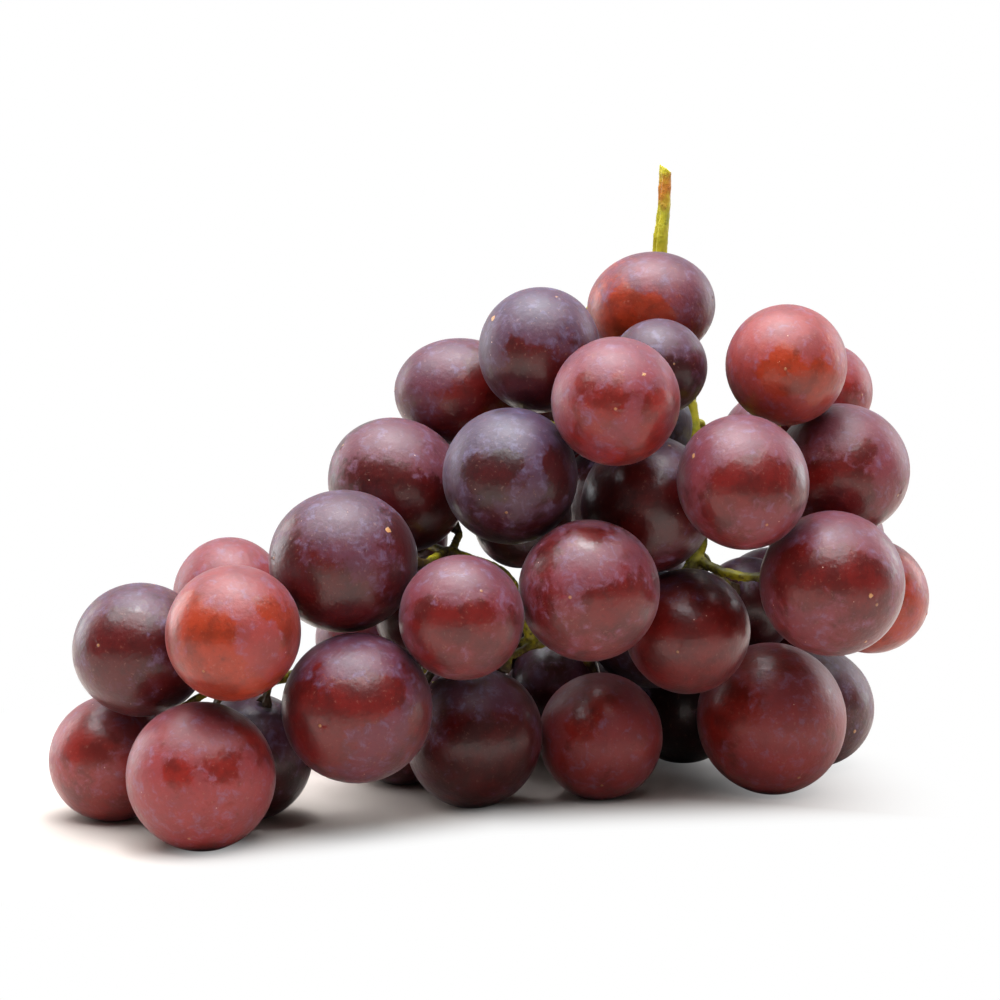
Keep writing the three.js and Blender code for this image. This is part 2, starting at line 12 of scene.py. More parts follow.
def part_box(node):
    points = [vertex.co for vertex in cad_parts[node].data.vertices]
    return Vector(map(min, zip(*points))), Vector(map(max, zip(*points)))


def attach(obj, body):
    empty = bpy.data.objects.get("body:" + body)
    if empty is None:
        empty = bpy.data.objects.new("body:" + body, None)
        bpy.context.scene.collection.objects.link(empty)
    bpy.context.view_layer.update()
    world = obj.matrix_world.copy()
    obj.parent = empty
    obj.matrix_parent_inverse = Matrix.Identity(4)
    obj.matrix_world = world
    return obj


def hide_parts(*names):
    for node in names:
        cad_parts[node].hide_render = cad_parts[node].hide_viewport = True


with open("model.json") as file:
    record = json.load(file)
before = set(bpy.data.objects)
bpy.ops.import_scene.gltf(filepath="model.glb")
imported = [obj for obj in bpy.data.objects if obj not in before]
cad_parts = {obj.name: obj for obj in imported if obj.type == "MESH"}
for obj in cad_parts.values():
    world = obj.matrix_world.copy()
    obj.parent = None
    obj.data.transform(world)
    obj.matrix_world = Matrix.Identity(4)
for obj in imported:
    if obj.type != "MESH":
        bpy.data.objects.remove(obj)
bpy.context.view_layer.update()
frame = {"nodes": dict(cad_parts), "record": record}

bl_info = {
    "name": "Bunch of red table grapes",
    "version": (1, 0, 0),
    "blender": (4, 5, 0),
    "location": "View3D > Sidebar > Grapes",
    "description": "Dresses the solids of a bunch of grapes with waxy, rubbed skins and a woody green stalk",
    "category": "Object",
}

# Lengths are in metres, but for the camera's lens and sensor.
# Points closer than this count as one where a mesh is merged or cut.
TINY = 0.000002

# The photograph's camera: from the front, it looks slightly down at a point in the middle of the bunch.
EYE_DISTANCE = 0.650
EYE_TILT = math.radians(7.5)
SIGHT_POINT = Vector((-0.00102, -0.00538, 0.056))
FOCAL_LENGTH_MM = 124.0
SENSOR_WIDTH_MM = 36.0
SHIFT = 0.0106
SIGHT = Vector((0, math.cos(EYE_TILT), -math.sin(EYE_TILT)))
EYE = SIGHT_POINT - EYE_DISTANCE * SIGHT
CLIP_START, CLIP_END = 0.01, 20

# The widest ring of points on a CAD berry lies a little below its middle, at this share of its radius.
WIDEST_RING_SHARE = 0.995
LUMP_SIZE = 0.011

# The poles of a berry of radius 1: how far the dimple at the stem end spreads, and how deep and how wide the
# hollow and the small point in it are at the blossom end.
DIMPLE_REACH = 0.26
HOLLOW_DEPTH, HOLLOW_REACH = 0.012, 0.10
POINT_HEIGHT, POINT_REACH = 0.014, 0.045

# The bloom's amount changes by these where it is rubbed off and where it lies thicker, partly as dust and
# partly as painted light, and never by more than the limits. A patch fades out at PATCH_SPREAD times its size.
RUBBED, DUST_AND_LIGHT = -0.85, 0.26
LEAST_CHANGE, MOST_CHANGE = -0.85, 0.30
PATCH_SPREAD, PATCH_FALLOFF = 1.5, 0.8
FAR_PATCHES = 6
# Painted light and shade: a berry's upper side has more bloom, less red in its skin and a cooler wax, which
# paint the hazy cool light from overhead. Its lower side has less bloom and a redder, darker wax, which paint
# shade.
UPPER_BLOOM = 0.20
TOP_LIGHT_SKIN_RED = -0.22
TOP_LIGHT_WAX_TINT = (-0.36, -0.05, 0.12)
UNDERSIDE_SHADE_WAX_TINT = (0.0, -0.40, -0.40)
SHADE_SHARE = 0.45

# Sizes of the skin's patterns. The pores are far apart and small.
CLOUD_SIZE, SPECK_SIZE, SMEAR_SIZE, DENT_SIZE = 0.0046, 0.0007, 0.0022, 0.0012
PORE_SPACING = 0.0028
SCAR_SIZES = {"scar": 0.00050, "second_scar": 0.00032}
SCAR_RAGGEDNESS = 0.0018
SKIN_RELIEF = 0.00018
# How much each noise adds to the film of bloom, and the sum that they make where each is at its middle.
PATCH_SHARE, SMEAR_SHARE, GRAIN_SHARE = 1.30, 1.00, 0.45
MIDDLE_SUM = 0.5 * (PATCH_SHARE + SMEAR_SHARE + GRAIN_SHARE)
FILM_START, FILM_FULL = MIDDLE_SUM + 0.30, MIDDLE_SUM + 0.62

# Sizes of the bark's patterns.
STREAK_SIZE, BARK_SPECK_SIZE, WART_SPACING, WART_SIZE = 0.0045, 0.0009, 0.0013, 0.0011
BARK_RELIEF = 0.00015
# The stalk's slanted cut: its tilt, how far it reaches down, and how squarely a cut point faces out of it.
CUT_TILT = math.radians(33)
CUT_REACH = 0.0030
CUT_FACING = 0.72
# Rust is strongest RUST_DEPTH below the top of the stalk. The bark is brown within DRY_REACH or so of a berry,
# where it dries, and darker still inside the bunch from INSIDE_DEPTH below the top, which is painted shade.
RUST_DEPTH, RUST_REACH = 0.005, 0.007
DRY_AT_BERRY, DRY_REACH = 0.75, 0.0035
SHADE_INSIDE, INSIDE_DEPTH, INSIDE_REACH = 0.58, 0.045, 0.030

# Near the bunch the floor is paper that shows its shadow. The camera sees plain white from SHADOW_EDGE round
# the middle of the shadow, and from FRONT_EDGE past two lines on the viewer's side.
FLOOR_RADIUS = 4
SHADOW_MIDDLE = (-0.026, -0.010, 0)
SHADOW_EDGE = (0.060, 0.115)
LEFT_FRONT, RIGHT_FRONT = (0.6, -1.0, 0.0), (0.16, -1.0, 0.0)
FRONT_EDGE = (0.015, 0.044)

# Studio lamps: place, width, depth and power. All are cool white and point at the middle of the bunch.
LAMP_COLOUR = (0.89, 0.95, 1.0)
LAMP_AIM = Vector((0, 0, 0.05))
SOFTBOX = ("softbox", (-0.04, -0.08, 0.62), 0.9, 0.75)
SMALL_LAMPS = (
    ("bright core", (-0.03, -0.05, 0.60), 0.20, 0.13, 1.5),
    ("left panel", (-0.75, 0.45, 0.25), 0.5, 0.6, 3.0),
    ("right panel", (0.75, 0.45, 0.25), 0.5, 0.6, 3.0),
)
# The light of the room in front of the bunch and of the backdrop behind it, and where one fades into the
# other.
ROOM_LIGHT, BACKDROP_LIGHT = 0.15, 0.75
BACKDROP_START, BACKDROP_FULL = -0.10, 0.45
WHITE = (1, 1, 1, 1)
SOFT = {"interpolation_type": "SMOOTHSTEP"}
COLOURS = {"data_type": "RGBA"}


def linear(hex_colour):
    """An sRGB hex colour as linear red, green, blue and alpha."""
    parts = [int(hex_colour[i : i + 2], 16) / 255 for i in (1, 3, 5)]
    return tuple(p / 12.92 if p <= 0.04045 else ((p + 0.055) / 1.055) ** 2.4 for p in parts) + (1.0,)


def colour_property(name, hex_colour, description):
    """A colour that the side panel shows as a swatch."""
    return FloatVectorProperty(
        name=name, description=description, subtype="COLOR", size=4, min=0, max=1, default=linear(hex_colour)
    )


def length_property(name, default, description):
    """A length that the side panel shows in the scene's unit."""
    return FloatProperty(
        name=name, description=description, subtype="DISTANCE", unit="LENGTH", default=default
    )


def share_property(name, default, description):
    """A share from 0 to 1 that the side panel shows as a slider."""
    return FloatProperty(
        name=name, description=description, subtype="FACTOR", min=0, max=1, default=default
    )


# Skin colours under the bloom: a brighter, oranger one that paints the glow of light shining through the flesh
# on one side, and a darker one that paints shade on the other side.
SKINS = {
    "flame": ("#a8320f", "#4c100e"),
    "orange": ("#a0300f", "#80200f"),
    "rose": ("#8a1c12", "#6c120e"),
    "red": ("#6c0e08", "#4c0806"),
    "wine": ("#560a08", "#3e0606"),
    "plum": ("#42080a", "#2c0506"),
    "black": ("#320b0c", "#240708"),
}
# The bloom's own colour, from dusty pink on a red berry to slate on a dark one.
WAXES = {
    "pink": "#983c40",
    "dusty": "#843a46",
    "mauve": "#643044",
    "lilac": "#563850",
    "slate": "#46404e",
}


def look(skin, wax, bloom, sun=(0, 0.5), rubs=(), dust_and_light_patches=(), scars=()):
    """How one berry looks. Skin and wax go by name, and bloom is how much wax lies on it. The rest are places
    on it as the camera sees them, in shares of its radius: across, up and, for a patch, how far it spreads.
    They are the side where the painted glow of light through the flesh is brightest, the rubbed patches, the
    patches of thicker bloom, some of which also paint a highlight on top, a pale side rim or light underneath,
    and the scars."""
    return {
        "skin": skin, "wax": wax, "bloom": bloom, "sun": sun, "rubs": rubs, "dust_and_light_patches": dust_and_light_patches, "scars": scars
    }


# On many berries a patch of thicker bloom on top also paints the pale haze of the highlight there, and on 11
# and 12 one at the left rim paints rim light.
LOOKS = {
    1: look("orange", "pink", 0.50, (-0.6, -0.4),
            [(-0.72, 0.3, 0.3), (-0.35, 0, 0.3), (-0.26, -0.56, 0.35), (0.47, 0.4, 0.2), (0.88, 0, 0.3),
             (0, -0.95, 0.4)],
            [(-0.1, 0.6, 0.5), (0.4, -0.3, 0.4)]),
    2: look("wine", "mauve", 0.36, (0, 0), [(-0.3, 0.2, 0.4)], [(-0.1, 0.75, 0.4)]),
    3: look("rose", "pink", 0.44, (-0.5, 0.1), [(-0.48, 0.3, 0.35)], [(0.3, 0.6, 0.4)]),
    4: look("rose", "pink", 0.58, (0, -0.4),
            [(-0.32, 0.05, 0.17), (0.26, 0.14, 0.22), (0.6, 0.57, 0.2), (0.87, 0.33, 0.2)],
            [(0.1, 0.6, 0.35), (-0.6, -0.4, 0.4), (0.6, -0.6, 0.4)]),
    5: look("rose", "pink", 0.66, (0, 0)),
    6: look("wine", "mauve", 0.40, (-0.6, -0.5), [(-0.83, -0.1, 0.3), (-0.24, -0.5, 0.4), (0.9, 0.3, 0.3)],
            [(0.19, -0.15, 0.35), (0, 0.6, 0.5)], [(0.62, 0.42)]),
    7: look("red", "mauve", 0.50, (-0.1, 0.1),
            [(-0.2, 0.12, 0.25), (0.12, 0.12, 0.3), (0.45, 0.2, 0.18), (-0.5, -0.27, 0.28),
             (-0.46, -0.55, 0.2), (-0.76, 0.08, 0.25), (0.83, -0.15, 0.2)],
            [(0.1, 0.6, 0.45), (0.3, -0.3, 0.4), (-0.1, -0.8, 0.3)]),
    8: look("plum", "mauve", 0.40, (0, 0)),
    9: look("wine", "dusty", 0.46, (0.4, -0.6), [(0.3, -0.5, 0.5), (-0.2, 0.1, 0.3)], [(0, 0.6, 0.5)]),
    10: look("red", "mauve", 0.42, (0.6, -0.2), [(0.4, 0, 0.5)], [(-0.3, 0.5, 0.4), (-0.8, 0, 0.4)]),
    11: look("wine", "lilac", 0.54, (0.7, 0), [(-0.42, 0.05, 0.15), (0, -0.55, 0.5)],
             [(-0.1, 0.55, 0.4), (-0.8, 0.1, 0.4)], [(-0.75, 0.5), (-0.05, 0.5)]),
    12: look("plum", "lilac", 0.54, (0.2, 0.4),
             [(-0.37, 0.1, 0.3), (-0.03, 0.2, 0.18), (0.62, 0.2, 0.2), (0.7, -0.15, 0.18)],
             [(0, 0.55, 0.5), (0.07, -0.5, 0.25), (-0.85, 0, 0.3)]),
    13: look("rose", "dusty", 0.56, (0.5, -0.3),
             [(0.72, -0.25, 0.35), (0.56, -0.67, 0.25), (-0.47, 0.31, 0.14), (0.05, 0.34, 0.09),
              (-0.05, 0, 0.2), (-0.58, -0.56, 0.1)],
             [(0.3, -0.35, 0.3), (-0.35, -0.75, 0.3), (0.1, 0.75, 0.4)], [(0.42, 0.4)]),
    14: look("plum", "mauve", 0.50, (0, -0.3), [(0.1, -0.4, 0.5)], [(0, 0.6, 0.5)]),
    15: look("flame", "mauve", 0.44, (-0.8, -0.4),
             [(-0.5, 0.1, 0.25), (-0.05, -0.2, 0.35), (-0.6, -0.55, 0.4)],
             [(-0.2, 0.6, 0.3), (0.6, 0.3, 0.5)]),
    # The patch of thicker bloom low on berry 16 paints light on its underside.
    16: look("orange", "pink", 0.58, (0.1, 0), [(-0.1, -0.15, 0.3), (0.5, -0.3, 0.3), (0, 0.15, 0.2)],
             [(0, 0.65, 0.5), (-0.6, -0.3, 0.3), (0.1, -0.65, 0.45)], [(-0.1, 0.03)]),
    17: look("rose", "pink", 0.52, (0, 0)),
    18: look("red", "dusty", 0.52, (0, -0.3), [(0.3, 0.3, 0.2), (-0.1, -0.3, 0.45)],
             [(0, 0.6, 0.5), (0.7, 0, 0.3)]),
    19: look("red", "dusty", 0.54, (0, 0.1),
             [(0.3, 0.05, 0.38), (-0.17, 0, 0.28), (-0.4, -0.45, 0.15), (0.85, -0.1, 0.25)],
             [(0.1, 0.6, 0.5), (-0.5, 0.3, 0.3), (0.3, -0.6, 0.4)], [(-0.75, 0.4), (0.28, -0.5)]),
    20: look("red", "dusty", 0.48, (0.2, 0.2), [(-0.43, 0.07, 0.38), (0.17, 0.27, 0.28), (0.5, -0.07, 0.3)],
             [(0, 0.7, 0.4), (-0.2, -0.5, 0.4)], [(0.52, -0.15), (0.47, -0.78)]),
    21: look("orange", "pink", 0.42, (0.5, 0)),
    22: look("rose", "pink", 0.58, (0, -0.2), [(-0.55, 0.1, 0.35), (0, 0.8, 0.35)],
             [(0.2, 0.4, 0.3), (0.1, -0.4, 0.5)]),
    23: look("wine", "mauve", 0.46, (0, 0), (), (), [(0.7, -0.4)]),
    24: look("red", "dusty", 0.44, (0.2, 0.2), [(0, 0.75, 0.2), (-0.6, 0.45, 0.2), (0.3, -0.2, 0.3)],
             [(0, 0.25, 0.5)]),
    25: look("red", "dusty", 0.50, (-0.3, -0.2), [(-0.48, -0.1, 0.35), (0.17, 0, 0.28)], [(0, 0.6, 0.5)]),
    26: look("rose", "pink", 0.60, (0, 0.2), [(0, 0.6, 0.3), (-0.3, 0.2, 0.25)],
             [(0.2, -0.4, 0.5), (-0.8, 0, 0.3)]),
    27: look("wine", "mauve", 0.44, (0, 0), [(0.3, -0.2, 0.5)], [(0.2, 0.3, 0.4)]),
    28: look("red", "mauve", 0.30, (0, 0), [(0.2, 0, 0.6), (0, -0.7, 0.6)], [(0, 0.5, 0.3)]),
    29: look("wine", "mauve", 0.42, (0, 0), [(-0.4, -0.1, 0.7)], [(0.1, -0.6, 0.35), (0.6, 0.5, 0.5)]),
    30: look("black", "slate", 0.58),
    31: look("plum", "mauve", 0.32),
    32: look("black", "mauve", 0.34),
    33: look("wine", "dusty", 0.38),
    34: look("plum", "mauve", 0.34),
    35: look("wine", "mauve", 0.34),
    36: look("plum", "mauve", 0.34),
    39: look("plum", "mauve", 0.20),
}
# Of the berries behind, only 39 shows in a gap. Each of the others looks like one of its tone that does show.
TONE_LOOKS = {
    "red_skin": (look("rose", "pink", 0.54), look("red", "dusty", 0.52)),
    "wine_skin": (look("wine", "dusty", 0.48), look("wine", "mauve", 0.48), look("red", "mauve", 0.50)),
    "dark_skin": (look("plum", "lilac", 0.50), look("plum", "slate", 0.54)),
}
SLOTS = {s["node"]: s["material_slot"] for s in frame["record"]["subparts"]}
BERRY_NODES = sorted(name for name in frame["nodes"] if name.startswith("berry_"))


class BerrySettings(bpy.types.PropertyGroup):
    """What can be set about the berries"""
    segments: IntProperty(name="Segments", description="Faces round a berry", default=64, min=24, max=128)
    rings: IntProperty(name="Rings", description="Faces from pole to pole", default=48, min=16, max=96)
    dimple_depth: share_property("Dimple depth", 0.05, "Depth of the stem end, as a share of the radius")
    unevenness: length_property("Unevenness", 0.00022, "How far the skin wanders off a perfect round")
    patch_size: length_property("Patch size", 0.0075, "Size of the patches in which the bloom comes and goes")
    bloom_cover: share_property("Bloom cover", 0.52, "How much of the skin's colour the thickest bloom hides")
    haze_colour: colour_property("Haze colour", "#80789a", "Colour of the thickest specks of bloom")
    pore_colour: colour_property("Pore colour", "#c99a88", "Colour of the pale pores")
    scar_colour: colour_property("Scar colour", "#c08a58", "Colour of the corky scars")


class StalkSettings(bpy.types.PropertyGroup):
    """What can be set about the stalk"""
    grain: length_property("Mesh size", 0.00032, "Size of the faces that the stalk is made in")
    wart_height: length_property("Wart height", 0.00016, "How far the corky warts stand out")
    green: colour_property("Yellow-green", "#b5a81e", "Colour of the fresh bark")
    olive: colour_property("Olive", "#8d8c1c", "Colour of its streaks")
    rust: colour_property("Rust", "#b0601a", "Colour of the bark that dries near the cut")
    # The brown also paints the shade on the stalk inside the bunch, and is darker for it.
    brown: colour_property("Brown", "#3e2c14", "Colour of the corky warts and of the ends at the berries")
    pith: colour_property("Pith", "#f0e8cc", "Colour of the cut face")


class StageSettings(bpy.types.PropertyGroup):
    """What can be set about the stage"""
    floor_colour: colour_property("Floor", "#ccbfb6", "Colour of the floor")
    softbox_power: FloatProperty(
        name="Softbox power", description="Power of the lamp overhead", unit="POWER", default=11.8
    )


def deselect_all():
    """Leaves no object selected."""
    for each in bpy.context.selected_objects:
        each.select_set(False)


def make_active(piece):
    """Makes an object the active one and the only one selected."""
    deselect_all()
    piece.select_set(True)
    bpy.context.view_layer.objects.active = piece


def apply_modifier(piece, kind, **settings):
    """Adds a modifier with its settings and applies it."""
    modifier = piece.modifiers.new(kind.lower(), kind)
    for name, value in settings.items():
        setattr(modifier, name, value)
    make_active(piece)
    bpy.ops.object.modifier_apply(modifier=modifier.name)


def add(tree, kind, links=None, **settings):
    """Adds a node with its settings. links gives each socket its value, or the node or socket that feeds
    it."""
    made = tree.nodes.new(kind)
    for name, value in settings.items():
        setattr(made, name, value)
    for socket, value in (links or {}).items():
        if isinstance(value, bpy.types.Node):
            value = next(output for output in value.outputs if output.enabled)
        if isinstance(value, bpy.types.NodeSocket):
            tree.links.new(value, made.inputs[socket])
        else:
            made.inputs[socket].default_value = value
    return made


def emptied(name):
    """A new material, and its node tree with nothing in it."""
    material = bpy.data.materials.new(name)
    material.use_nodes = True
    material.node_tree.nodes.clear()
    return material, material.node_tree


def grape_skin(settings):
    """Ripe grape skin under its own wax. The bloom is a matte, dusty film that dulls the skin and spreads
    every highlight. Where it is rubbed off, the deep red skin shows through, smooth and glossy."""
    material, tree = emptied("waxy grape skin")
    place = add(tree, "ShaderNodeTexCoord").outputs["Object"]
    # The skin and shade colours hold a painted glow and shade, the wax a painted cool top and shaded
    # underside, and the bloom a painted haze on top and patches that paint light.
    skin = add(tree, "ShaderNodeAttribute", attribute_name="skin")
    shade = add(tree, "ShaderNodeAttribute", attribute_name="shade")
    wax = add(tree, "ShaderNodeAttribute", attribute_name="wax")
    bloom = add(tree, "ShaderNodeAttribute", attribute_name="bloom").outputs["Fac"]

    # Under the bloom, the skin has darker clouds some 5 mm wide and fine dark specks.
    clouds = add(tree, "ShaderNodeTexNoise", {
        "Vector": place, "Scale": 1 / CLOUD_SIZE, "Detail": 4, "Roughness": 0.6})
    specks = add(tree, "ShaderNodeTexNoise", {
        "Vector": place, "Scale": 1 / SPECK_SIZE, "Detail": 3, "Roughness": 0.6})
    cloudy = add(tree, "ShaderNodeMapRange", {
        "Value": clouds, "From Min": 0.38, "From Max": 0.66, "To Max": 0.8}, **SOFT)
    speckled = add(tree, "ShaderNodeMapRange", {
        "Value": specks, "From Min": 0.56, "From Max": 0.70, "To Max": 0.5}, **SOFT)
    flesh = add(tree, "ShaderNodeMix", {"Factor": cloudy, "A": skin, "B": shade}, **COLOURS)
    flesh = add(tree, "ShaderNodeMix", {"Factor": speckled, "A": flesh, "B": shade}, **COLOURS)

    # The bloom lies as thick as its attribute says, broken up in patches, in smears and in grains.
    patches = add(tree, "ShaderNodeTexNoise", {
        "Vector": place, "Scale": 1 / settings.patch_size, "Detail": 5, "Roughness": 0.62, "Distortion": 0.6})
    smears = add(tree, "ShaderNodeTexNoise", {
        "Vector": place, "Scale": 1 / SMEAR_SIZE, "Detail": 4, "Roughness": 0.65, "Distortion": 0.4})
    level = add(tree, "ShaderNodeMath", {0: patches, 1: PATCH_SHARE, 2: bloom}, operation="MULTIPLY_ADD")
    level = add(tree, "ShaderNodeMath", {0: smears, 1: SMEAR_SHARE, 2: level}, operation="MULTIPLY_ADD")
    level = add(tree, "ShaderNodeMath", {0: specks, 1: GRAIN_SHARE, 2: level}, operation="MULTIPLY_ADD")
    film = add(tree, "ShaderNodeMapRange", {
        "Value": level, "From Min": FILM_START, "From Max": FILM_FULL}, **SOFT)
    covered = add(tree, "ShaderNodeMath", {0: film, 1: settings.bloom_cover}, operation="MULTIPLY")
    colour = add(tree, "ShaderNodeMix", {"Factor": covered, "A": flesh, "B": wax}, **COLOURS)

    # Where the film is thick and smeared it is a pale violet haze, and a few grains of it are paler still.
    haze = add(tree, "ShaderNodeMapRange", {
        "Value": smears, "From Min": 0.50, "From Max": 0.72, "To Max": 0.28}, **SOFT)
    haze = add(tree, "ShaderNodeMath", {0: haze, 1: film}, operation="MULTIPLY")
    colour = add(tree, "ShaderNodeMix", {"Factor": haze, "A": colour, "B": settings.haze_colour}, **COLOURS)
    flecks = add(tree, "ShaderNodeMapRange", {
        "Value": specks, "From Min": 0.40, "From Max": 0.28, "To Max": 0.12}, **SOFT)
    colour = add(tree, "ShaderNodeMix", {"Factor": flecks, "A": colour, "B": settings.pore_colour}, **COLOURS)

    # Pores are pale dots of a quarter of a millimetre, on a few of the cells only.
    cells = add(tree, "ShaderNodeTexVoronoi", {"Vector": place, "Scale": 1 / PORE_SPACING})
    chosen = add(tree, "ShaderNodeSeparateXYZ", {"Vector": cells.outputs["Color"]})
    chosen = add(tree, "ShaderNodeMapRange", {
        "Value": chosen.outputs["X"], "From Min": 0.66, "From Max": 0.70})
    dots = add(tree, "ShaderNodeMapRange", {
        "Value": cells.outputs["Distance"], "From Min": 0.052, "From Max": 0.028})
    dots = add(tree, "ShaderNodeMath", {0: dots, 1: chosen}, operation="MULTIPLY")
    colour = add(tree, "ShaderNodeMix", {"Factor": dots, "A": colour, "B": settings.pore_colour}, **COLOURS)

    # Corky places: two small scars, ragged at the edge, and the point where the flower was.
    ragged = add(tree, "ShaderNodeMath", {
        0: smears, 1: SCAR_RAGGEDNESS, 2: -SCAR_RAGGEDNESS / 2}, operation="MULTIPLY_ADD")
    uv = add(tree, "ShaderNodeUVMap", uv_map="UVMap")
    height = add(tree, "ShaderNodeSeparateXYZ", {"Vector": uv}).outputs["Y"]
    corky = add(tree, "ShaderNodeMapRange", {
        "Value": height, "From Min": 0.010, "From Max": 0.004, "To Max": 0.6}, **SOFT)
    for name, size in SCAR_SIZES.items():
        at = add(tree, "ShaderNodeAttribute", attribute_name=name).outputs["Vector"]
        away = add(tree, "ShaderNodeVectorMath", {0: place, 1: at}, operation="DISTANCE").outputs["Value"]
        away = add(tree, "ShaderNodeMath", {0: away, 1: ragged}, operation="ADD")
        scar = add(tree, "ShaderNodeMapRange", {
            "Value": away, "From Min": size, "From Max": size * 0.7}, **SOFT)
        corky = add(tree, "ShaderNodeMath", {0: corky, 1: scar}, operation="MAXIMUM")
    colour = add(tree, "ShaderNodeMix", {"Factor": corky, "A": colour, "B": settings.scar_colour}, **COLOURS)

    # Skin is smooth but never quite even, and the pores and scars stand a little proud of it.
    dents = add(tree, "ShaderNodeTexNoise", {"Vector": place, "Scale": 1 / DENT_SIZE, "Detail": 3})
    relief = add(tree, "ShaderNodeMath", {0: dots, 1: 0.5, 2: dents}, operation="MULTIPLY_ADD")
    relief = add(tree, "ShaderNodeMath", {0: corky, 1: 1.5, 2: relief}, operation="MULTIPLY_ADD")
    bump = add(tree, "ShaderNodeBump", {"Strength": 0.5, "Distance": SKIN_RELIEF, "Height": relief})
    roughness = add(tree, "ShaderNodeMapRange", {"Value": film, "To Min": 0.28, "To Max": 0.50})
    shader = add(tree, "ShaderNodeBsdfPrincipled", {
        "Base Color": colour, "Roughness": roughness, "Normal": bump, "IOR": 1.43,
        "Subsurface Weight": 0.20, "Subsurface Radius": (1.0, 0.20, 0.08), "Subsurface Scale": 0.0030,
        "Coat Weight": 0.28, "Coat Roughness": 0.38, "Coat IOR": 1.5, "Coat Normal": bump,
        "Sheen Weight": 0.07, "Sheen Roughness": 0.45, "Sheen Tint": (0.82, 0.84, 1.0, 1.0)})
    add(tree, "ShaderNodeOutputMaterial", {"Surface": shader})
    return material


def stalk_bark(settings):
    """A picked grape stalk that starts to dry: smooth yellow-green bark, orange-brown near the cut and dark
    brown at the berries, with small corky warts. Inside the bunch the dark brown is painted shade."""
    material, tree = emptied("green grape stalk")
    place = add(tree, "ShaderNodeTexCoord").outputs["Object"]
    dry_and_shade = add(tree, "ShaderNodeAttribute", attribute_name="dry_and_shade").outputs["Fac"]
    rusty = add(tree, "ShaderNodeAttribute", attribute_name="rusty").outputs["Fac"]
    cut = add(tree, "ShaderNodeAttribute", attribute_name="cut").outputs["Fac"]
    streaks = add(tree, "ShaderNodeTexNoise", {
        "Vector": place, "Scale": 1 / STREAK_SIZE, "Detail": 4, "Roughness": 0.6})
    specks = add(tree, "ShaderNodeTexNoise", {
        "Vector": place, "Scale": 1 / BARK_SPECK_SIZE, "Detail": 3, "Roughness": 0.6})
    cells = add(tree, "ShaderNodeTexVoronoi", {"Vector": place, "Scale": 1 / WART_SPACING})
    warts = add(tree, "ShaderNodeMapRange", {
        "Value": cells.outputs["Distance"], "From Min": 0.34, "From Max": 0.12}, **SOFT)

    # Green bark with olive streaks, then rust, then brown at the berries and as painted shade inside the
    # bunch, then the brown warts, and the pale cut over all.
    ripe = add(tree, "ShaderNodeMapRange", {"Value": streaks, "From Min": 0.40, "From Max": 0.62}, **SOFT)
    colour = add(tree, "ShaderNodeMix", {"Factor": ripe, "A": settings.green, "B": settings.olive}, **COLOURS)
    level = add(tree, "ShaderNodeMath", {0: streaks, 1: 1.6, 2: rusty}, operation="MULTIPLY_ADD")
    rust = add(tree, "ShaderNodeMapRange", {
        "Value": level, "From Min": 1.15, "From Max": 1.65, "To Max": 0.85}, **SOFT)
    colour = add(tree, "ShaderNodeMix", {"Factor": rust, "A": colour, "B": settings.rust}, **COLOURS)
    level = add(tree, "ShaderNodeMath", {0: streaks, 1: 1.2, 2: dry_and_shade}, operation="MULTIPLY_ADD")
    level = add(tree, "ShaderNodeMath", {0: specks, 1: 0.5, 2: level}, operation="MULTIPLY_ADD")
    brown = add(tree, "ShaderNodeMapRange", {"Value": level, "From Min": 1.10, "From Max": 1.80}, **SOFT)
    colour = add(tree, "ShaderNodeMix", {"Factor": brown, "A": colour, "B": settings.brown}, **COLOURS)
    corky = add(tree, "ShaderNodeMath", {0: warts, 1: dry_and_shade}, operation="MULTIPLY")
    colour = add(tree, "ShaderNodeMix", {"Factor": corky, "A": colour, "B": settings.brown}, **COLOURS)
    colour = add(tree, "ShaderNodeMix", {"Factor": cut, "A": colour, "B": settings.pith}, **COLOURS)

    relief = add(tree, "ShaderNodeMath", {0: warts, 1: 0.8, 2: specks}, operation="MULTIPLY_ADD")
    bump = add(tree, "ShaderNodeBump", {"Strength": 0.5, "Distance": BARK_RELIEF, "Height": relief})
    shader = add(tree, "ShaderNodeBsdfPrincipled", {
        "Base Color": colour, "Roughness": 0.50, "Normal": bump, "IOR": 1.45,
        "Subsurface Weight": 0.15, "Subsurface Radius": (0.8, 1.0, 0.2), "Subsurface Scale": 0.0006})
    add(tree, "ShaderNodeOutputMaterial", {"Surface": shader})
    return material


def berry_form(node):
    """A CAD berry's middle, the unit direction to its stem end, its radius and its half length."""
    mesh = node.data
    spot = [tuple(round(c, 6) for c in v.co) for v in mesh.vertices]
    around = defaultdict(set)
    corners = Counter()
    for face in mesh.polygons:
        ring = [spot[i] for i in face.vertices]
        corners.update(ring)
        for one in ring:
            around[one].update(r for r in ring if r != one)
    # More faces meet at the two poles than at any other point.
    (low, _), (high, _) = corners.most_common(2)
    axis = (Vector(high) - Vector(low)).normalized()
    # The stem end is the pole that its neighbours stand out past, because it lies in the dimple.
    rim = max((Vector(p) for p in around[high]), key=lambda p: p.dot(axis))
    if rim.dot(axis) < Vector(high).dot(axis):
        low, high, axis = high, low, -axis
        rim = max((Vector(p) for p in around[high]), key=lambda p: p.dot(axis))
    low = Vector(low)
    from_axis = max((Vector(p) - low - (Vector(p) - low).dot(axis) * axis).length for p in corners)
    radius = from_axis / WIDEST_RING_SHARE
    dimple = ((rim - low) - (rim - low).dot(axis) * axis).length
    slope = math.asin(min(1, dimple / radius))
    half_length = (rim - low).dot(axis) / (1 + math.cos(slope))
    return low + axis * half_length, axis, radius, half_length


